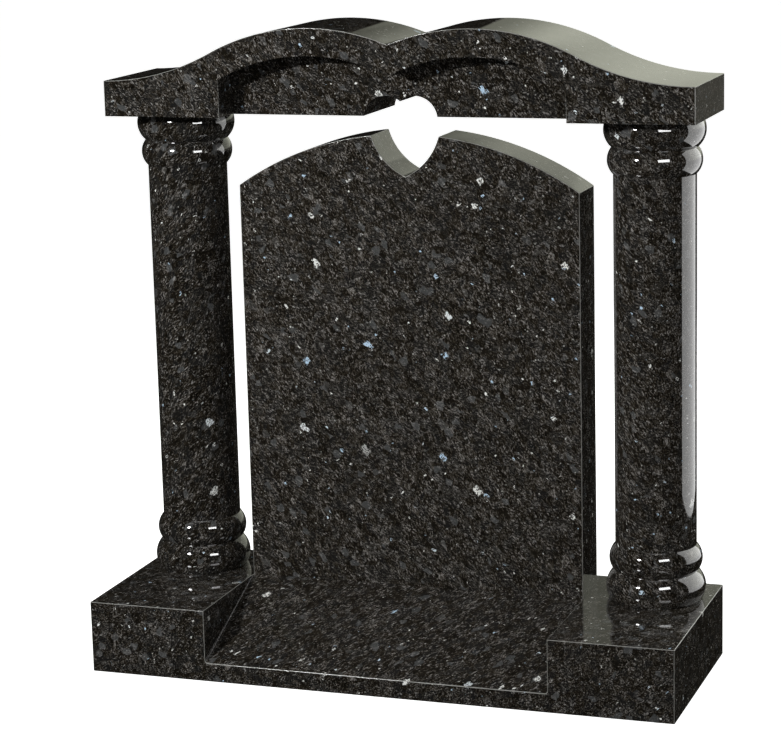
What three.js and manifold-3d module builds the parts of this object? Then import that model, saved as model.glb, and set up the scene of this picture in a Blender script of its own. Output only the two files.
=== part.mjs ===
// A headstone of five polished stones: a base whose sloped panel runs up between two raised blocks,
// an arched tablet with the lower half of a heart cut into its top, two turned columns, and a lintel
// with a double wave on top, a recessed front, and the upper half of the heart cut up into it.
// Millimetres. X is right, Y is back and Z is up. The origin is the middle of the base's underside.

import * as THREE from 'three';
import { mergeVertices } from 'three/addons/utils/BufferGeometryUtils.js';
import Module from 'manifold-3d';

const wasm = await Module();
wasm.setup();

// Driving dimensions: the tablet
const TABLET_WIDTH = 628;
const TABLET_THICKNESS = 97;
const TABLET_HEIGHT = 820; // to the crest that its arc would have without the notch
const TABLET_ARC_RADIUS = 560;
const NOTCH_HALF_WIDTH = 62.4;
const NOTCH_DEPTH = 75; // below the crest
const NOTCH_BULGE = 10.5; // how far each side of the notch bows away from a straight line

// Driving dimensions: the base
const BASE_HEIGHT = 129;
const PANEL_FRONT_HEIGHT = 33;
const PANEL_LENGTH = 238.5; // from the front of the base back to the tablet's face
const PANEL_CORNER_RADIUS = 5;

// Driving dimensions: the columns
const SHAFT_RADIUS = 71.5;
const OUTER_ROLL_RADIUS = 40;
const OUTER_ROLL_CENTRE = 22; // from the end of the column
const INNER_ROLL_RADIUS = 34;
const INNER_ROLL_CENTRE = 74; // from the end of the column
const ROLL_CENTRE_DEPTH = 23.5; // of the rolls' centres inside the shaft's surface

// Driving dimensions: the lintel
const LINTEL_OVERHANG = 42; // in front of the columns' outer rolls
const LINTEL_END_HEIGHT = 63;
const LINTEL_CREST_HEIGHT = 157;
const CREST_OFFSET = 147; // from the middle to each crest
const CREST_RADIUS = 397;
const FACE_BAND = 48; // the stone left between the wave and the recess below it
const RECESS_DEPTH = 62;
const LOBE_RADIUS = 41.3;
const LOBE_OFFSET = 26.6; // from the middle to each lobe's centre
const LOBE_DROP = 5.5; // of the lobes' centres below the lintel's underside

// Clearances
const COLUMN_SIDE_GAP = 32.5; // between the tablet's side and a column's outer rolls
const COLUMN_EDGE_MARGIN = 11; // between the outer rolls and the base's end and back
const TABLET_HEADROOM = 32.7; // between the tablet's crest and the lintel
const BED_GAP = 0.3; // between two stones, one set on the other
const CUT_MARGIN = 10; // how far a cut runs past the faces that it goes through

// Fineness
const ARC_STEP = THREE.MathUtils.degToRad(4);
const ROLL_STEPS = 8;
const COLUMN_SIDES = 40;

// Sizes and places that follow from the driving dimensions
const rollCore = SHAFT_RADIUS - ROLL_CENTRE_DEPTH;
const rollReach = rollCore + OUTER_ROLL_RADIUS;
const columnOffset = TABLET_WIDTH / 2 + COLUMN_SIDE_GAP + rollReach;
const baseWidth = 2 * (columnOffset + rollReach + COLUMN_EDGE_MARGIN);
const baseDepth = PANEL_LENGTH + TABLET_THICKNESS / 2 + rollReach + COLUMN_EDGE_MARGIN;
const baseFront = -baseDepth / 2;
const baseBack = baseDepth / 2;
const tabletFront = baseFront + PANEL_LENGTH;
const tabletBack = tabletFront + TABLET_THICKNESS;
const tabletFoot = BASE_HEIGHT + BED_GAP;
const tabletCrest = tabletFoot + TABLET_HEIGHT;
const columnSetback = (tabletFront + tabletBack) / 2;
const columnFoot = BASE_HEIGHT + BED_GAP;
const lintelUnderside = tabletCrest + TABLET_HEADROOM;
const columnHeight = lintelUnderside - BED_GAP - columnFoot;
const lintelWidth = baseWidth;
const lintelFront = columnSetback - rollReach - LINTEL_OVERHANG;
const lintelBack = baseBack;

// Points of a circular arc, with both ends, from one angle to another about a centre
function arc(centreX, centreY, radius, startAngle, endAngle, count) {
  const steps = count ?? Math.max(2, Math.ceil(Math.abs(endAngle - startAngle) / ARC_STEP));
  const points = [];
  for (let i = 0; i <= steps; i += 1) {
    const angle = startAngle + ((endAngle - startAngle) * i) / steps;
    points.push(new THREE.Vector2(
      centreX + radius * Math.cos(angle),
      centreY + radius * Math.sin(angle),
    ));
  }
  return points;
}

// Points of the arc that joins two points and bows to the right of the way between them
function bowedLine(start, end, bulge) {
  const halfChord = start.distanceTo(end) / 2;
  const radius = (halfChord ** 2 + bulge ** 2) / (2 * bulge);
  const along = end.clone().sub(start).normalize();
  const right = new THREE.Vector2(along.y, -along.x);
  const centre = start.clone().add(end).multiplyScalar(0.5).addScaledVector(right, bulge - radius);
  const startAngle = Math.atan2(start.y - centre.y, start.x - centre.x);
  const span = 2 * Math.asin(halfChord / radius);
  return arc(centre.x, centre.y, radius, startAngle, startAngle + span);
}

// An outline's right half, in order, followed by its mirror image in the opposite order.
// A point on the middle line is used once.
function mirrored(rightHalf) {
  const leftHalf = rightHalf
    .filter((point) => Math.abs(point.x) > 1e-6)
    .map((point) => new THREE.Vector2(-point.x, point.y))
    .reverse();
  return [...rightHalf, ...leftHalf];
}

// A solid with a given outline seen from the front, between two distances back
function slab(outline, front, back) {
  const geometry = new THREE.ExtrudeGeometry(new THREE.Shape(outline), {
    depth: back - front,
    bevelEnabled: false,
  });
  geometry.rotateX(Math.PI / 2);
  geometry.translate(0, back, 0);
  return geometry;
}

// A geometry as a solid that can be cut
function solidOf(geometry) {
  const bare = geometry.index ? geometry.toNonIndexed() : geometry.clone();
  bare.deleteAttribute('normal');
  bare.deleteAttribute('uv');
  const merged = mergeVertices(bare, 1e-4);
  return new wasm.Manifold(new wasm.Mesh({
    numProp: 3,
    vertProperties: new Float32Array(merged.attributes.position.array),
    triVerts: new Uint32Array(merged.index.array),
  }));
}

// A solid back as a geometry
function geometryOf(solid) {
  const mesh = solid.getMesh();
  const geometry = new THREE.BufferGeometry();
  geometry.setAttribute('position', new THREE.BufferAttribute(new Float32Array(mesh.vertProperties), 3));
  geometry.setIndex(new THREE.BufferAttribute(new Uint32Array(mesh.triVerts), 1));
  geometry.computeVertexNormals();
  return geometry;
}

// The space above the base's panel, as a solid: its floor slopes up from the front edge to the
// tablet's foot, and its two lower corners are rounded
function channelGeometry() {
  const rise = BASE_HEIGHT - PANEL_FRONT_HEIGHT;
  const slope = Math.atan2(rise, PANEL_LENGTH);
  const slopeLength = Math.hypot(rise, PANEL_LENGTH);
  const halfWidth = TABLET_WIDTH / 2;
  const round = PANEL_CORNER_RADIUS;
  const outline = mirrored([
    new THREE.Vector2(halfWidth, -2 * BASE_HEIGHT),
    ...arc(halfWidth - round, -round, round, 0, Math.PI / 2, 4),
  ]);
  const channel = new THREE.ExtrudeGeometry(new THREE.Shape(outline), {
    depth: slopeLength + 2 * CUT_MARGIN,
    bevelEnabled: false,
  });
  channel.translate(0, 0, -CUT_MARGIN);
  channel.rotateX(slope - Math.PI / 2);
  channel.translate(0, baseFront, PANEL_FRONT_HEIGHT);
  return channel;
}

// The base: one block with the channel cut down its middle, which leaves a raised block on each side
function baseGeometry() {
  const block = new THREE.BoxGeometry(baseWidth, baseDepth, BASE_HEIGHT);
  block.translate(0, 0, BASE_HEIGHT / 2);
  return geometryOf(solidOf(block).subtract(solidOf(channelGeometry())));
}

// The tablet: straight sides, a shallow arc on top, and a notch whose two bowed sides meet in a point
function tabletGeometry() {
  const halfWidth = TABLET_WIDTH / 2;
  const arcCentre = tabletCrest - TABLET_ARC_RADIUS;
  const shoulder = Math.acos(halfWidth / TABLET_ARC_RADIUS);
  const outline = mirrored([
    new THREE.Vector2(halfWidth, tabletFoot),
    ...arc(0, arcCentre, TABLET_ARC_RADIUS, shoulder, Math.PI / 2),
  ]);

  const rimHeight = arcCentre + Math.sqrt(TABLET_ARC_RADIUS ** 2 - NOTCH_HALF_WIDTH ** 2);
  const tip = new THREE.Vector2(0, tabletCrest - NOTCH_DEPTH);
  const rim = new THREE.Vector2(NOTCH_HALF_WIDTH, rimHeight);
  const above = new THREE.Vector2(NOTCH_HALF_WIDTH, tabletCrest + CUT_MARGIN);
  const notchOutline = mirrored([...bowedLine(tip, rim, NOTCH_BULGE), above]);
  const notch = slab(notchOutline, tabletFront - CUT_MARGIN, tabletBack + CUT_MARGIN);
  return geometryOf(solidOf(slab(outline, tabletFront, tabletBack)).subtract(solidOf(notch)));
}

// How far from the end of a column the arcs of its outer and inner roll cross
function grooveDistance() {
  const apart = INNER_ROLL_CENTRE - OUTER_ROLL_CENTRE;
  const fromOuter = (apart ** 2 + OUTER_ROLL_RADIUS ** 2 - INNER_ROLL_RADIUS ** 2) / (2 * apart);
  return OUTER_ROLL_CENTRE + fromOuter;
}

// One roll of a column, as distances from the axis and from the end, between two distances from the end
function rollArc(centre, radius, start, end) {
  const startAngle = Math.asin((start - centre) / radius);
  const endAngle = Math.asin((end - centre) / radius);
  return arc(rollCore, centre, radius, startAngle, endAngle, ROLL_STEPS);
}

// One end of a column: an outer roll, a groove and an inner roll that runs out into the shaft
function endProfile() {
  const groove = grooveDistance();
  const runOut = INNER_ROLL_CENTRE + Math.sqrt(INNER_ROLL_RADIUS ** 2 - ROLL_CENTRE_DEPTH ** 2);
  return [
    ...rollArc(OUTER_ROLL_CENTRE, OUTER_ROLL_RADIUS, 0, groove),
    ...rollArc(INNER_ROLL_CENTRE, INNER_ROLL_RADIUS, groove, runOut).slice(1),
  ];
}

// A column: one turned piece, the same at its foot as at its head
function columnGeometry() {
  const foot = endProfile();
  const head = foot.map((point) => new THREE.Vector2(point.x, columnHeight - point.y)).reverse();
  const profile = [new THREE.Vector2(0, 0), ...foot, ...head, new THREE.Vector2(0, columnHeight)];
  const geometry = new THREE.LatheGeometry(profile, COLUMN_SIDES);
  geometry.rotateX(Math.PI / 2);
  return geometry;
}

// The lintel's top from its right end to the middle: level at the end, then hollow, then round
// over the crest and down to the valley
function waveTop() {
  const across = lintelWidth / 2 - CREST_OFFSET;
  const rise = LINTEL_CREST_HEIGHT - LINTEL_END_HEIGHT;
  const radiusSum = (across ** 2 + rise ** 2) / (2 * rise);
  const hollowRadius = radiusSum - CREST_RADIUS;
  const hollowCentre = lintelUnderside + LINTEL_END_HEIGHT + hollowRadius;
  const crestCentre = lintelUnderside + LINTEL_CREST_HEIGHT - CREST_RADIUS;
  const up = Math.PI / 2;
  const turn = Math.asin(across / radiusSum);
  const valley = up + Math.asin(CREST_OFFSET / CREST_RADIUS);
  return [
    ...arc(lintelWidth / 2, hollowCentre, hollowRadius, -up, -up - turn),
    ...arc(CREST_OFFSET, crestCentre, CREST_RADIUS, up - turn, valley).slice(1),
  ];
}

// The recess in the lintel's front: as wide as the tablet, under two arcs that run level with the wave
function recessOutline() {
  const halfWidth = TABLET_WIDTH / 2;
  const radius = CREST_RADIUS - FACE_BAND;
  const crestCentre = lintelUnderside + LINTEL_CREST_HEIGHT - CREST_RADIUS;
  const corner = Math.acos((halfWidth - CREST_OFFSET) / radius);
  const valley = Math.PI / 2 + Math.asin(CREST_OFFSET / radius);
  return mirrored([
    new THREE.Vector2(halfWidth, lintelUnderside - CUT_MARGIN),
    ...arc(CREST_OFFSET, crestCentre, radius, corner, valley),
  ]);
}

// The heart's two lobes, cut up into the lintel from below
function lobeOutline() {
  const lobeCentre = lintelUnderside - LOBE_DROP;
  const cusp = Math.PI / 2 + Math.asin(LOBE_OFFSET / LOBE_RADIUS);
  return mirrored([
    new THREE.Vector2(LOBE_OFFSET + LOBE_RADIUS, lintelUnderside - CUT_MARGIN),
    ...arc(LOBE_OFFSET, lobeCentre, LOBE_RADIUS, 0, cusp),
  ]);
}

// The lintel: the waved beam, less the recess in its front and the lobes through it
function lintelGeometry() {
  const outline = mirrored([new THREE.Vector2(lintelWidth / 2, lintelUnderside), ...waveTop()]);
  const beam = solidOf(slab(outline, lintelFront, lintelBack));
  const recess = solidOf(slab(recessOutline(), lintelFront - CUT_MARGIN, lintelFront + RECESS_DEPTH));
  const lobes = solidOf(slab(lobeOutline(), lintelFront - CUT_MARGIN, lintelBack + CUT_MARGIN));
  return geometryOf(beam.subtract(recess).subtract(lobes));
}

// Polished near-black stone, a material of its own for each piece
function polishedStone() {
  return new THREE.MeshStandardMaterial({ color: 0x262421, roughness: 0.12, metalness: 0 });
}

// A named piece of the headstone
function stone(name, geometry) {
  const mesh = new THREE.Mesh(geometry, polishedStone());
  mesh.name = name;
  return mesh;
}

const headstone = new THREE.Group();
headstone.add(stone('base', baseGeometry()));
headstone.add(stone('tablet', tabletGeometry()));
for (const [name, side] of [['left_column', -1], ['right_column', 1]]) {
  const column = stone(name, columnGeometry());
  column.position.set(side * columnOffset, columnSetback, columnFoot);
  headstone.add(column);
}
headstone.add(stone('lintel', lintelGeometry()));

export default headstone;
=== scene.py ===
import math

import bmesh
import bpy
from mathutils import Matrix, Vector


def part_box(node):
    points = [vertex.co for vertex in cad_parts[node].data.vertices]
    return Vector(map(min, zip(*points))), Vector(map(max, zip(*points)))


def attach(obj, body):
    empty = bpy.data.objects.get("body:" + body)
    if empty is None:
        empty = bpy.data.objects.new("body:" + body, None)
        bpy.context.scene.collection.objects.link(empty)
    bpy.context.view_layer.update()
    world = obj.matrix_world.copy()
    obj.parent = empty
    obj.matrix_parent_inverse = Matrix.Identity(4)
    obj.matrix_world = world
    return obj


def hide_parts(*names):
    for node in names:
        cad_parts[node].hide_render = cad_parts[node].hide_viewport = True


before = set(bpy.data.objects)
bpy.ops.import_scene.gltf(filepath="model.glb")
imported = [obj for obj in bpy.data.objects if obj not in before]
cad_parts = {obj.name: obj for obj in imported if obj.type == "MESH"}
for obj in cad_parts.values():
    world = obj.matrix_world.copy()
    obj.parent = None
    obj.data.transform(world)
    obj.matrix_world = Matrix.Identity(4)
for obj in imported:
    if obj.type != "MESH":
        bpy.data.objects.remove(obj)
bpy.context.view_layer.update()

# A headstone of five polished stones, each rebuilt as a fine mesh that replaces its CAD node.
# Metres. X is right, Y is back and Z is up.

# Sizes that the boxes of the CAD nodes don't give
TABLET_ARC_RADIUS = 0.560
NOTCH_HALF_WIDTH = 0.0624
NOTCH_DEPTH = 0.075
NOTCH_BULGE = 0.0105
PANEL_FRONT_HEIGHT = 0.033
PANEL_CORNER_RADIUS = 0.005
ROLL_CORE_RADIUS = 0.048
SHAFT_RADIUS = 0.0715
OUTER_ROLL_RADIUS = 0.040
OUTER_ROLL_CENTRE = 0.022
INNER_ROLL_RADIUS = 0.034
INNER_ROLL_CENTRE = 0.074
LINTEL_END_HEIGHT = 0.063
CREST_OFFSET = 0.147
CREST_RADIUS = 0.397
FACE_BAND = 0.048
RECESS_DEPTH = 0.062
LOBE_RADIUS = 0.0413
LOBE_OFFSET = 0.0266
LOBE_DROP = 0.0055
ARRIS = 0.0011

# Fineness
COLUMN_SIDES = 192
ROLL_STEP = math.radians(3)
WIDE_STEP = math.radians(1)
NARROW_STEP = math.radians(5)

# The camera, fitted to the corners of the object
IMAGE_WIDTH = 781
FOCAL_PIXELS = 2573.3
CAMERA_PLACE = Vector((1.4529, -4.1795, 1.4884))
CAMERA_YAW = math.radians(19.42)
CAMERA_PITCH = math.radians(12.18)
CAMERA_ROLL = math.radians(-1.44)

# The stone's pattern: how many of each thing there are in a metre
CRYSTALS = 98.0
FLAKES = 560.0
GRIT = 640.0
SPECKS = 330.0
# Painted glints: the flash of real feldspar crystals, painted into their colour
LARGE_GLINTS = 72.0
SMALL_GLINTS = 200.0

# The stone's pattern: how the grain lies, as turns of the pattern about the three axes
BASE_GRAIN = (0.0, 0.375, -0.75)
FALLING_GRAIN = (0.25, math.radians(-48), 0.2)
RISING_GRAIN = (0.25, math.radians(50), 0.2)

# The stone's colours, with a painted highlight for the arrises
BLACK = (0.0, 0.0, 0.0)
DARK_BODY = (0.0315, 0.0262, 0.0188)
LIGHT_BODY = (0.23, 0.218, 0.206)
DARK_BLUISH = (0.030, 0.034, 0.038)
PALE_BLUISH = (0.092, 0.100, 0.106)
THREAD_GREY = (0.30, 0.29, 0.28)
SPECK_GREY = (0.55, 0.55, 0.52)
# Painted glints: the silvery and pale blue flash of the crystals, painted as colour
PAINTED_GLINT_SILVER = (0.86, 0.87, 0.84)
PAINTED_GLINT_BLUE = (0.52, 0.68, 0.84)
# Paler grey for the arrises: partly a frosted edge, partly a painted highlight along the edges
ARRIS_PAINTED_HIGHLIGHT = (0.32, 0.32, 0.30)
DARK_SHARE = 0.16
STONE_IOR = 1.6

# What the polish mirrors of the surround, and what the surround gives to the camera and as light
MIRRORED_DARK = (0.004, 0.0036, 0.003)
MIRRORED_FOOT = (0.10, 0.098, 0.083)
BACKDROP_LEFT = (0.20, 0.205, 0.165)
BACKDROP_RIGHT = (0.86, 0.88, 0.73)
BACKDROP_EDGE_ANGLE = math.radians(17)
OVERHEAD_WHITE = (1.6, 1.6, 1.6)
SEEN_WHITE = (0.96, 0.96, 0.96)
EVEN_LIGHT = (0.2, 0.2, 0.2)

# Places of the nodes
base_low, base_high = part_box("base")
tablet_low, tablet_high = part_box("tablet")
lintel_low, lintel_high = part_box("lintel")
half_tablet = (tablet_high.x - tablet_low.x) / 2


def arc(x, z, radius, start, end, step):
    """Points of a circular arc, both ends included, between two angles about a centre"""
    count = max(2, math.ceil(abs(end - start) / step))
    angles = [start + (end - start) * i / count for i in range(count + 1)]
    return [(x + radius * math.cos(a), z + radius * math.sin(a)) for a in angles]


def bowed_line(start, end, bulge, step):
    """Points of the arc that joins two points and bows to the right of the way between them"""
    start, end = Vector(start), Vector(end)
    half_chord = (end - start).length / 2
    radius = (half_chord**2 + bulge**2) / (2 * bulge)
    along = (end - start).normalized()
    centre = (start + end) / 2 + Vector((along.y, -along.x)) * (bulge - radius)
    first = math.atan2(start.y - centre.y, start.x - centre.x)
    return arc(centre.x, centre.y, radius, first, first + 2 * math.asin(half_chord / radius), step)


def mirrored(right_half):
    """An outline's right half followed by its mirror image, with a point on the middle line used once"""
    left_half = [(-x, z) for x, z in reversed(right_half) if abs(x) > 1e-7]
    return right_half + left_half


def at_depth(outline, y):
    """An outline seen from the front, placed at a depth"""
    return [(x, y, z) for x, z in outline]


def strips(outline, front, back):
    """One four-sided face behind each step of an open outline, between two depths"""
    return [
        [(a[0], front, a[1]), (b[0], front, b[1]), (b[0], back, b[1]), (a[0], back, a[1])]
        for a, b in zip(outline, outline[1:])
    ]


def solid(name, faces):
    """A closed mesh from faces that are lists of points"""
    mesh = bpy.data.meshes.new(name)
    points = [p for face in faces for p in face]
    numbers = iter(range(len(points)))
    mesh.from_pydata(points, [], [[next(numbers) for _ in face] for face in faces])
    work = bmesh.new()
    work.from_mesh(mesh)
    bmesh.ops.remove_doubles(work, verts=work.verts, dist=1e-6)
    bmesh.ops.recalc_face_normals(work, faces=work.faces)
    for face in work.faces:
        face.smooth = True
    work.to_mesh(mesh)
    work.free()
    piece = bpy.data.objects.new(name, mesh)
    bpy.context.scene.collection.objects.link(piece)
    return piece


def soften_arrises(piece):
    """Rounds the outward corners a little, but not those that face down, and keeps the rest crisp"""
    work = bmesh.new()
    work.from_mesh(piece.data)
    weight = work.edges.layers.float.new("bevel_weight_edge")
    for edge in work.edges:
        turn = edge.calc_face_angle_signed(0.0)
        faces_up = sum(face.normal.z for face in edge.link_faces) > -0.1
        edge[weight] = 1.0 if turn > math.radians(30) and faces_up else 0.0
        edge.smooth = abs(turn) < math.radians(15) or edge[weight] == 1.0
    work.to_mesh(piece.data)
    work.free()
    bevel = piece.modifiers.new("arrises", "BEVEL")
    bevel.limit_method = "WEIGHT"
    bevel.width = ARRIS
    bevel.segments = 3
    bevel.use_clamp_overlap = False
    # The bevel's faces take the arris material, whose paler colour is partly a painted highlight
    bevel.material = 1
    normals = piece.modifiers.new("flat_faces", "WEIGHTED_NORMAL")
    normals.keep_sharp = True


def panel_point(slope, along, out):
    """A point of the panel's section: so far up the slope from its front edge, and so far out from it"""
    y = base_low.y + along * math.cos(slope) - out * math.sin(slope)
    z = PANEL_FRONT_HEIGHT + along * math.sin(slope) + out * math.cos(slope)
    return y, z


def panel_lines():
    """The channel's floor and rounded corners, as lines from the front face to the top face"""
    rise = base_high.z - PANEL_FRONT_HEIGHT
    slope = math.atan2(rise, tablet_low.y - base_low.y)
    radius = PANEL_CORNER_RADIUS
    section = arc(half_tablet - radius, radius, radius, 0, -math.pi / 2, math.radians(18))
    lines = []
    for x, out in mirrored(section):
        front = panel_point(slope, out * math.tan(slope), out)
        back = panel_point(slope, (rise - out * math.cos(slope)) / math.sin(slope), out)
        lines.append(((x, *front), (x, *back)))
    return lines


def make_base():
    """One block with a sloped panel sunk into it, which leaves a raised block on each side"""
    low, high = base_low, base_high
    lines = panel_lines()
    front_line = [front for front, back in lines]
    back_line = [back for front, back in lines]
    inner_right = (half_tablet, low.y, high.z)
    inner_left = (-half_tablet, low.y, high.z)
    corners = [(x, y, z) for x in (low.x, high.x) for y in (low.y, high.y) for z in (low.z, high.z)]
    lfb, lft, lbb, lbt, rfb, rft, rbb, rbt = corners
    faces = [
        [lfb, rfb, rft, inner_right, *front_line, inner_left, lft],
        [rft, rbt, lbt, lft, inner_left, *reversed(back_line), inner_right],
        [inner_right, back_line[0], front_line[0]],
        [inner_left, front_line[-1], back_line[-1]],
        [rfb, rbb, rbt, rft],
        [lfb, lft, lbt, lbb],
        [lbb, lbt, rbt, rbb],
        [lfb, lbb, rbb, rfb],
    ]
    for (a_front, a_back), (b_front, b_back) in zip(lines, lines[1:]):
        faces.append([a_front, a_back, b_back, b_front])
    return solid("base_stone", faces)


def tablet_outline():
    """The tablet's outline: straight sides, a shallow arc on top and the heart's pointed notch"""
    rim = tablet_high.z
    arc_centre = rim - math.sqrt(TABLET_ARC_RADIUS**2 - NOTCH_HALF_WIDTH**2)
    shoulder = math.acos(half_tablet / TABLET_ARC_RADIUS)
    notch_rim = math.acos(NOTCH_HALF_WIDTH / TABLET_ARC_RADIUS)
    tip = arc_centre + TABLET_ARC_RADIUS - NOTCH_DEPTH
    notch = bowed_line((0, tip), (NOTCH_HALF_WIDTH, rim), NOTCH_BULGE, NARROW_STEP)
    top = arc(0, arc_centre, TABLET_ARC_RADIUS, shoulder, notch_rim, WIDE_STEP)
    return mirrored([(half_tablet, tablet_low.z), *top, *reversed(notch[:-1])])


def make_tablet():
    """The upright tablet between the columns"""
    outline = tablet_outline()
    front, back = tablet_low.y, tablet_high.y
    faces = strips([*outline, outline[0]], front, back)
    faces += [at_depth(outline, front), at_depth(outline, back)]
    return solid("tablet_stone", faces)


def groove_distance():
    """How far from a column's end the arcs of its outer and inner roll cross"""
    apart = INNER_ROLL_CENTRE - OUTER_ROLL_CENTRE
    return OUTER_ROLL_CENTRE + (apart**2 + OUTER_ROLL_RADIUS**2 - INNER_ROLL_RADIUS**2) / (2 * apart)


def roll(centre, radius, start, end):
    """One roll of a column, as distances from the axis and from the end"""
    first = math.asin((start - centre) / radius)
    last = math.asin((end - centre) / radius)
    return arc(ROLL_CORE_RADIUS, centre, radius, first, last, ROLL_STEP)


def column_profile(height):
    """A column's outline from its foot to its head: two rolls, the shaft, and two rolls"""
    groove = groove_distance()
    inset = SHAFT_RADIUS - ROLL_CORE_RADIUS
    run_out = INNER_ROLL_CENTRE + math.sqrt(INNER_ROLL_RADIUS**2 - inset**2)
    foot = roll(OUTER_ROLL_CENTRE, OUTER_ROLL_RADIUS, 0, groove)
    foot += roll(INNER_ROLL_CENTRE, INNER_ROLL_RADIUS, groove, run_out)[1:]
    return foot + [(radius, height - z) for radius, z in reversed(foot)]


def make_column(node):
    """One turned column, in the place of its CAD node"""
    low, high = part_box(node)
    middle_x, middle_y = (low.x + high.x) / 2, (low.y + high.y) / 2
    turns = [2 * math.pi * i / COLUMN_SIDES for i in range(COLUMN_SIDES)]
    rings = [
        [(middle_x + r * math.cos(t), middle_y + r * math.sin(t), low.z + z) for t in turns]
        for r, z in column_profile(high.z - low.z)
    ]
    faces = [rings[0], rings[-1]]
    for under, over in zip(rings, rings[1:]):
        for i in range(COLUMN_SIDES):
            faces.append([under[i - 1], under[i], over[i], over[i - 1]])
    piece = solid(node + "_stone", faces)
    piece.data.set_sharp_from_angle(angle=math.radians(25))
    return piece


def wave_top():
    """The lintel's top from its right end to the middle: hollow, then over the crest to the valley"""
    across = lintel_high.x - CREST_OFFSET
    crest_height = lintel_high.z - lintel_low.z
    rise = crest_height - LINTEL_END_HEIGHT
    radius_sum = (across**2 + rise**2) / (2 * rise)
    hollow_radius = radius_sum - CREST_RADIUS
    hollow_centre = lintel_low.z + LINTEL_END_HEIGHT + hollow_radius
    up = math.pi / 2
    turn = math.asin(across / radius_sum)
    valley = up + math.asin(CREST_OFFSET / CREST_RADIUS)
    hollow = arc(lintel_high.x, hollow_centre, hollow_radius, -up, -up - turn, WIDE_STEP)
    crest = arc(CREST_OFFSET, lintel_high.z - CREST_RADIUS, CREST_RADIUS, up - turn, valley, WIDE_STEP)
    return hollow + crest[1:]


def recess_top():
    """The recess's right half from its lower corner up and over to the cusp in the middle"""
    radius = CREST_RADIUS - FACE_BAND
    corner = math.acos((half_tablet - CREST_OFFSET) / radius)
    cusp = math.pi / 2 + math.asin(CREST_OFFSET / radius)
    centre = lintel_high.z - CREST_RADIUS
    return [(half_tablet, lintel_low.z), *arc(CREST_OFFSET, centre, radius, corner, cusp, WIDE_STEP)]


def lobe_top():
    """The right lobe of the heart from the lintel's underside up and over to the cusp"""
    centre = lintel_low.z - LOBE_DROP
    start = math.asin(LOBE_DROP / LOBE_RADIUS)
    cusp = math.pi / 2 + math.asin(LOBE_OFFSET / LOBE_RADIUS)
    return arc(LOBE_OFFSET, centre, LOBE_RADIUS, start, cusp, NARROW_STEP)


def make_lintel():
    """The waved beam with a recess in its front and the upper half of the heart through it"""
    low, high = lintel_low, lintel_high
    recess_back = low.y + RECESS_DEPTH
    top, recess, lobes = mirrored(wave_top()), mirrored(recess_top()), mirrored(lobe_top())
    right_end, left_end = (high.x, low.z), (low.x, low.z)
    faces = [
        at_depth([right_end, *top, left_end, *reversed(recess)], low.y),
        at_depth([*recess, *reversed(lobes)], recess_back),
        at_depth([right_end, *top, left_end, *reversed(lobes)], high.y),
        *strips([right_end, *top, left_end], low.y, high.y),
        *strips(recess, low.y, recess_back),
        *strips(lobes, recess_back, high.y),
    ]
    for side in (-1, 1):
        lobe_edge = side * lobes[0][0]
        recess_edge = side * half_tablet
        underside = [
            (recess_edge, low.y),
            (side * high.x, low.y),
            (side * high.x, high.y),
            (lobe_edge, high.y),
            (lobe_edge, recess_back),
            (recess_edge, recess_back),
        ]
        faces.append([(x, y, low.z) for x, y in underside])
    return solid("lintel_stone", faces)


class Nodes:
    """Short calls for making and joining shader nodes"""

    def __init__(self, tree):
        self.tree = tree

    def new(self, kind, inputs=None, **settings):
        node = self.tree.nodes.new(kind)
        for name, value in settings.items():
            setattr(node, name, value)
        for name, value in (inputs or {}).items():
            if isinstance(value, bpy.types.NodeSocket):
                self.tree.links.new(value, node.inputs[name])
            else:
                node.inputs[name].default_value = value
        return node

    def math(self, operation, a, b=0.0, clamp=False):
        node = self.new("ShaderNodeMath", {0: a, 1: b}, operation=operation, use_clamp=clamp)
        return node.outputs[0]

    def step(self, value, low, high):
        """0 below low, 1 above high, and smooth between"""
        node = self.new(
            "ShaderNodeMapRange",
            {"Value": value, "From Min": low, "From Max": high},
            interpolation_type="SMOOTHSTEP",
        )
        return node.outputs["Result"]

    def mix(self, share, a, b):
        """Colour a where share is 0, and colour b where it is 1"""
        node = self.new("ShaderNodeMix", {"Factor": share}, data_type="RGBA")
        for socket, value in ((node.inputs[6], a), (node.inputs[7], b)):
            if isinstance(value, bpy.types.NodeSocket):
                self.tree.links.new(value, socket)
            else:
                socket.default_value = (*value, 1)
        return node.outputs[2]

    def times(self, a, b):
        return self.math("MULTIPLY", a, b)

    def plus(self, a, b):
        return self.math("ADD", a, b)

    def minus(self, a, b):
        return self.math("SUBTRACT", a, b)

    def noise(self, vector, scale, detail=1.0):
        """Smooth noise: a number about 0.5, and three more of them as a colour"""
        inputs = {"Vector": vector, "Scale": scale, "Detail": detail}
        return self.new("ShaderNodeTexNoise", inputs).outputs[:2]

    def cells(self, vector, scale, distance="EUCLIDEAN"):
        """Cells, each with a colour of its own and with the distance from its middle"""
        inputs = {"Vector": vector, "Scale": scale}
        return self.new("ShaderNodeTexVoronoi", inputs, distance=distance)

    def ramp(self, value, stops):
        """A colour that changes evenly between stops, which are pairs of a value and a colour"""
        node = self.new("ShaderNodeValToRGB", {"Fac": value})
        elements = node.color_ramp.elements
        for extra in stops[2:]:
            elements.new(extra[0])
        for element, (position, colour) in zip(elements, sorted(stops)):
            element.position = position
            element.color = (*colour, 1)
        return node.outputs["Color"]

    def channels(self, colour):
        return self.new("ShaderNodeSeparateColor", {"Color": colour}).outputs[:3]


def stretched(nodes, place, share):
    """A place with the pattern's length along the grain drawn out"""
    return nodes.new("ShaderNodeMapping", {"Vector": place, "Scale": (share, 1, 1)}).outputs[0]


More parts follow.
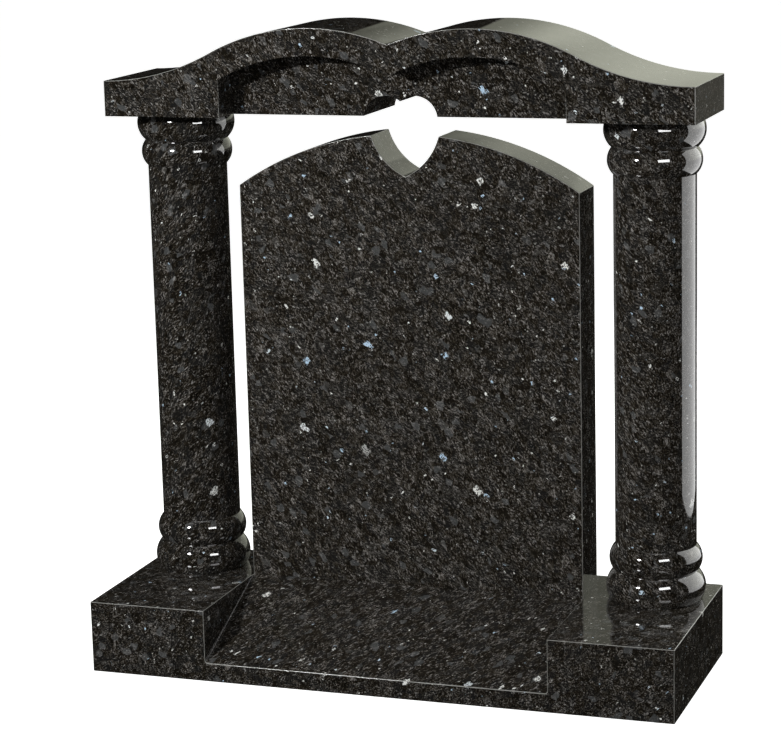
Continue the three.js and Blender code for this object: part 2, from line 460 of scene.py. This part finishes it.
def jittered(nodes, place, scale, reach):
    """A place shifted a little by noise, which makes cells ragged"""
    jitter = nodes.noise(place, scale, detail=2.0)[1]
    swing = nodes.new("ShaderNodeVectorMath", {0: jitter, 1: (0.5, 0.5, 0.5)}, operation="SUBTRACT")
    shifted = nodes.new(
        "ShaderNodeVectorMath",
        {0: swing.outputs[0], 1: (reach, reach, reach), 2: place},
        operation="MULTIPLY_ADD",
    )
    return shifted.outputs[0]


def centred(nodes, value, strength):
    """A number between 0 and 1 as a swing about 0"""
    return nodes.times(nodes.minus(value, 0.5), strength)


def turned(nodes, place, angle):
    """A place turned about an oblique axis, so that what is drawn out there runs another way"""
    inputs = {"Vector": place, "Axis": (0.15, 0.95, 0.27), "Angle": angle}
    return nodes.new("ShaderNodeVectorRotate", inputs, rotation_type="AXIS_ANGLE").outputs[0]


def cell_numbers(nodes, place, scale):
    """Three numbers between 0 and 1 for each cell of a size"""
    return nodes.channels(nodes.cells(place, scale).outputs["Color"])


def grain_swing(nodes, local):
    """The fine grain as a swing about 0: dark gaps, and light flakes and grit that come in clusters"""
    flake = cell_numbers(nodes, stretched(nodes, local, 0.22), FLAKES)[0]
    grit, gap = cell_numbers(nodes, stretched(nodes, local, 0.5), GRIT)[:2]
    flakes = nodes.times(nodes.step(flake, 0.5, 1.0), 1.9)
    light = nodes.plus(flakes, nodes.times(nodes.step(grit, 0.6, 1.0), 2.3))
    clusters = nodes.noise(stretched(nodes, local, 0.6), 85.0)[0]
    light = nodes.times(light, nodes.plus(nodes.times(clusters, 1.4), 0.15))
    dark = nodes.times(nodes.step(gap, 0.35, 0.0), 1.6)
    streaks = nodes.noise(stretched(nodes, local, 0.2), 400.0)[0]
    return nodes.plus(nodes.minus(light, dark), centred(nodes, streaks, 2.2))


def threads(nodes, local):
    """Thin light threads along the grain, some of them side by side"""
    lines = nodes.noise(stretched(nodes, local, 0.10), 420.0)[0]
    where = nodes.noise(local, 60.0)[0]
    return nodes.times(nodes.step(lines, 0.60, 0.72), nodes.step(where, 0.5, 0.6))


def painted_glints(nodes, place, scale, chosen, reach):
    """Sparse crystals with their bright flash painted in as painted glints, some hollow or striped: the
    glint's strength, and a number for the tint
    """
    cells = nodes.cells(jittered(nodes, place, scale * 3, 0.45 / scale), scale, "CHEBYCHEV")
    pick, size, tint = nodes.channels(cells.outputs["Color"])
    picked = nodes.step(pick, 1 - chosen, 1 - chosen * 0.9)
    depth = nodes.math("DIVIDE", cells.outputs["Distance"], nodes.plus(size, 0.25))
    core = nodes.step(depth, reach, reach * 0.8)
    hollow = nodes.times(nodes.step(depth, reach * 0.6, reach * 0.4), nodes.step(tint, 0.3, 0.2))
    slanted = stretched(nodes, turned(nodes, place, nodes.times(size, 3.0)), 0.15)
    stripes = nodes.step(nodes.noise(slanted, 520.0)[0], 0.40, 0.50)
    shine = nodes.times(nodes.times(picked, core), stripes)
    shine = nodes.times(shine, nodes.minus(1.0, hollow))
    return nodes.times(shine, nodes.math("ADD", size, 0.55, clamp=True)), tint


def specks(nodes, place):
    """Fine pale specks, some of them fainter"""
    cells = nodes.cells(place, SPECKS)
    pick, strength = nodes.channels(cells.outputs["Color"])[:2]
    core = nodes.step(cells.outputs["Distance"], 0.6, 0.4)
    spot = nodes.times(nodes.step(pick, 0.985, 0.987), core)
    return nodes.times(spot, nodes.times(strength, strength))


def stone_body(nodes, local, crystal, shade):
    """The body's colour and its tone: crystals that differ in darkness and fineness, and threads"""
    darkness, kind, lie = crystal
    pale = nodes.step(kind, 0.91, 0.92)
    fineness = nodes.plus(nodes.times(kind, 0.6), 0.62)
    fineness = nodes.minus(fineness, nodes.times(pale, 0.35))
    swing = nodes.times(grain_swing(nodes, local), fineness)
    swing = nodes.plus(swing, centred(nodes, darkness, 0.85))
    swing = nodes.plus(swing, nodes.times(pale, 0.7))
    tone = nodes.times(nodes.math("EXPONENT", swing), shade)
    tone = nodes.math("MINIMUM", nodes.times(tone, 0.066), 1.0)
    body = nodes.ramp(tone, [(0.0, BLACK), (1.0, LIGHT_BODY), (DARK_SHARE, DARK_BODY)])
    bluish = nodes.times(nodes.step(lie, 0.5, 0.7), nodes.plus(nodes.times(pale, 0.25), 0.2))
    body = nodes.mix(bluish, body, nodes.mix(pale, DARK_BLUISH, PALE_BLUISH))
    return nodes.mix(nodes.times(threads(nodes, local), 0.75), body, THREAD_GREY), tone


def with_glints(nodes, place, local, body):
    """The body with fine specks, and with painted glints: sparse crystals painted silvery or pale blue at
    their flash, in two sizes
    """
    large, large_tint = painted_glints(nodes, stretched(nodes, place, 0.7), LARGE_GLINTS, 0.014, 0.40)
    small, small_tint = painted_glints(nodes, stretched(nodes, local, 0.6), SMALL_GLINTS, 0.012, 0.52)
    shine = nodes.math("MAXIMUM", large, small)
    tint = nodes.step(nodes.mix(nodes.step(large, 0.0, 0.1), small_tint, large_tint), 0.6, 0.8)
    body = nodes.mix(nodes.times(specks(nodes, place), 0.75), body, SPECK_GREY)
    # The crystals' flash is painted into the colour here as painted glints
    return nodes.mix(shine, body, nodes.mix(tint, PAINTED_GLINT_SILVER, PAINTED_GLINT_BLUE))


def stone_pattern():
    """The stone's pattern, shared by all the pieces: its colour and its roughness at a place"""
    group = bpy.data.node_groups.new("stone_pattern", "ShaderNodeTree")
    group.interface.new_socket("Place", in_out="INPUT", socket_type="NodeSocketVector")
    group.interface.new_socket("Shade", in_out="INPUT", socket_type="NodeSocketFloat")
    group.interface.new_socket("Colour", in_out="OUTPUT", socket_type="NodeSocketColor")
    group.interface.new_socket("Roughness", in_out="OUTPUT", socket_type="NodeSocketFloat")
    nodes = Nodes(group)
    place, shade = group.nodes.new("NodeGroupInput").outputs[:2]

    # Each crystal has a darkness, a kind and a lie of the grain, along which its local place is turned
    ragged = jittered(nodes, stretched(nodes, place, 0.7), 180.0, 0.005)
    crystal = cell_numbers(nodes, ragged, CRYSTALS)
    local = turned(nodes, place, centred(nodes, crystal[2], 0.8))
    body, tone = stone_body(nodes, local, crystal, shade)
    colour = with_glints(nodes, place, local, body)

    # The polish is a little duller where the stone is lighter
    roughness = nodes.plus(nodes.times(tone, 0.05), 0.035)
    output = group.nodes.new("NodeGroupOutput")
    group.links.new(colour, output.inputs["Colour"])
    group.links.new(roughness, output.inputs["Roughness"])
    return group


def stone_material(name, pattern, offset, grain, shade, arris=False):
    """Polished stone cut from its own place in the quarry's pattern. An arris is duller, and paler partly
    as a painted highlight.
    """
    material = bpy.data.materials.new(name)
    material.use_nodes = True
    tree = material.node_tree
    nodes = Nodes(tree)
    shader = tree.nodes["Principled BSDF"]
    shader.inputs["IOR"].default_value = STONE_IOR
    coordinates = tree.nodes.new("ShaderNodeTexCoord").outputs["Object"]
    place = nodes.new(
        "ShaderNodeMapping", {"Vector": coordinates, "Location": offset, "Rotation": grain}
    )
    stone = tree.nodes.new("ShaderNodeGroup")
    stone.node_tree = pattern
    stone.inputs["Shade"].default_value = shade
    tree.links.new(place.outputs[0], stone.inputs["Place"])
    colour, roughness = stone.outputs
    if arris:
        # The arris colour is lightened, partly as a painted highlight along the edge; its duller polish is
        # real
        colour = nodes.mix(0.7, colour, ARRIS_PAINTED_HIGHLIGHT)
        roughness = nodes.plus(roughness, 0.15)
    tree.links.new(colour, shader.inputs["Base Color"])
    tree.links.new(roughness, shader.inputs["Roughness"])
    return material


def dress(piece, node, pattern, offset, grain, shade):
    """Gives a piece its stone and puts it in the place of its CAD node"""
    piece.data.materials.append(stone_material(node + "_polish", pattern, offset, grain, shade))
    if piece.modifiers:
        # The bevel's material, paler partly as a painted highlight on the arrises
        arris = stone_material(node + "_arris", pattern, offset, grain, shade, arris=True)
        piece.data.materials.append(arris)
    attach(piece, "root")
    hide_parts(node)


def make_camera():
    """The camera, level turn first, then tilt down, then roll"""
    ahead = Vector((-math.sin(CAMERA_YAW), math.cos(CAMERA_YAW), 0))
    right = Vector((math.cos(CAMERA_YAW), math.sin(CAMERA_YAW), 0))
    up = Vector((0, 0, 1))
    forward = math.cos(CAMERA_PITCH) * ahead - math.sin(CAMERA_PITCH) * up
    above = math.sin(CAMERA_PITCH) * ahead + math.cos(CAMERA_PITCH) * up
    across = math.cos(CAMERA_ROLL) * right + math.sin(CAMERA_ROLL) * above
    above = -math.sin(CAMERA_ROLL) * right + math.cos(CAMERA_ROLL) * above
    data = bpy.data.cameras.new("camera")
    data.sensor_width = 36.0
    data.lens = FOCAL_PIXELS * data.sensor_width / IMAGE_WIDTH
    data.clip_start, data.clip_end = 0.1, 60.0
    camera = bpy.data.objects.new("camera", data)
    turn = Matrix((across, above, -forward)).transposed().to_4x4()
    camera.matrix_world = Matrix.Translation(CAMERA_PLACE) @ turn
    bpy.context.scene.collection.objects.link(camera)
    bpy.context.scene.camera = camera


def make_floor():
    """A plain pale floor, which polished faces don't mirror"""
    reach = 40.0
    corners = [(-reach, -reach, 0), (reach, -reach, 0), (reach, reach, 0), (-reach, reach, 0)]
    mesh = bpy.data.meshes.new("floor")
    mesh.from_pydata(corners, [], [(0, 1, 2, 3)])
    floor = bpy.data.objects.new("floor", mesh)
    floor.location.z = -0.0005
    floor.visible_glossy = False
    floor.visible_diffuse = False
    material = bpy.data.materials.new("pale_floor")
    material.use_nodes = True
    shader = material.node_tree.nodes["Principled BSDF"]
    shader.inputs["Base Color"].default_value = (0.9, 0.9, 0.9, 1)
    shader.inputs["Roughness"].default_value = 0.9
    shader.inputs["Specular IOR Level"].default_value = 0.0
    shader.inputs["Emission Color"].default_value = (1, 1, 1, 1)
    shader.inputs["Emission Strength"].default_value = 0.75
    mesh.materials.append(material)
    bpy.context.scene.collection.objects.link(floor)


def area_light(name, place, target, width, height, power, shines, round_shape=False):
    """A light aimed at a point and unseen by the camera. It either shines in the polish or only lights."""
    data = bpy.data.lights.new(name, "AREA")
    data.shape = "ELLIPSE" if round_shape else "RECTANGLE"
    data.size, data.size_y = width, height
    data.energy = power
    light = bpy.data.objects.new(name, data)
    light.location = place
    light.rotation_mode = "QUATERNION"
    light.rotation_quaternion = (Vector(target) - Vector(place)).to_track_quat("-Z", "Y")
    light.visible_camera = False
    light.visible_glossy = shines
    light.visible_diffuse = not shines
    bpy.context.scene.collection.objects.link(light)


def make_lights():
    """A key and its shine from the left, a softbox and a weak fill from the right, a tall panel and a
    weak light at the right side, and a light behind"""
    middle = (0, 0, 0.9)
    right_front, right_front_target = (1.57, -1.56, 1.42), (0.2, 0, 0.9)
    right_column = (0.43, 0.09, 0.9)
    area_light("key", (-1.22, -2.45, 1.78), middle, 0.12, 0.12, 66, shines=False, round_shape=True)
    area_light("key_shine", (-1.15, -2.45, 1.80), middle, 0.42, 0.42, 62, shines=True, round_shape=True)
    area_light("softbox", right_front, right_front_target, 1.0, 0.5, 30, shines=True)
    area_light("fill", right_front, right_front_target, 1.0, 0.5, 4.5, shines=False)
    area_light("tall_panel", (1.33, 0.69, 0.9), right_column, 1.4, 1.8, 22, shines=True)
    area_light("side", (1.33, 0.69, 1.1), right_column, 1.4, 1.8, 6, shines=False)
    area_light("rear", (0.6, 3.0, 1.2), (0, 0.2, 0.6), 1.6, 1.2, 45, shines=False)


def backdrop_glow(nodes, edge, height):
    """The bright backdrop's colour: lighter to the right of its edge, and dimmer high up"""
    glow = nodes.mix(nodes.step(edge, 0.0, 0.15), BACKDROP_LEFT, BACKDROP_RIGHT)
    above = nodes.minus(height, nodes.times(edge, 0.3))
    dimmed = nodes.times(nodes.step(above, 0.196, 0.212), 0.3)
    return nodes.mix(dimmed, glow, BLACK)


def make_world():
    """A pale surround that gives a weak even light. The polish mirrors it as dark, with a bright
    backdrop behind on the right, dim at its foot, and a bright patch overhead."""
    world = bpy.data.worlds.new("studio")
    world.use_nodes = True
    tree = world.node_tree
    nodes = Nodes(tree)
    direction = tree.nodes.new("ShaderNodeTexCoord").outputs["Generated"]
    across, back, height = nodes.new("ShaderNodeSeparateXYZ", {"Vector": direction}).outputs
    edge = nodes.plus(across, nodes.times(back, math.tan(BACKDROP_EDGE_ANGLE)))
    behind_right = nodes.times(nodes.step(edge, 0.0, 0.008), nodes.step(back, 0.1, 0.5))
    foot = nodes.times(nodes.step(height, -0.126, -0.118), behind_right)
    backdrop = nodes.times(nodes.step(height, -0.04, 0.03), behind_right)
    mirrored_colour = nodes.mix(foot, MIRRORED_DARK, MIRRORED_FOOT)
    mirrored_colour = nodes.mix(backdrop, mirrored_colour, backdrop_glow(nodes, edge, height))
    mirrored_colour = nodes.mix(nodes.step(height, 0.90, 0.97), mirrored_colour, OVERHEAD_WHITE)
    ray = tree.nodes.new("ShaderNodeLightPath").outputs
    colour = nodes.mix(ray["Is Diffuse Ray"], mirrored_colour, EVEN_LIGHT)
    colour = nodes.mix(ray["Is Camera Ray"], colour, SEEN_WHITE)
    tree.links.new(colour, tree.nodes["Background"].inputs["Color"])
    bpy.context.scene.world = world


make_camera()
make_floor()
make_lights()
make_world()
bpy.context.scene.view_settings.view_transform = "Standard"

# Each stone's mesh, its place in the quarry's pattern, the lie of its grain and its shade
pattern = stone_pattern()
stones = {
    "base": (make_base(), (0.0, 0.0, 0.0), BASE_GRAIN, 0.82),
    "tablet": (make_tablet(), (3.1, 1.7, 0.9), FALLING_GRAIN, 1.0),
    "left_column": (make_column("left_column"), (5.3, 2.2, 4.1), RISING_GRAIN, 0.8),
    "right_column": (make_column("right_column"), (7.9, 6.4, 2.6), FALLING_GRAIN, 1.0),
    "lintel": (make_lintel(), (1.3, 8.8, 6.7), FALLING_GRAIN, 0.9),
}
for node in ("base", "tablet", "lintel"):
    soften_arrises(stones[node][0])
for node, (piece, offset, grain, shade) in stones.items():
    dress(piece, node, pattern, offset, grain, shade)
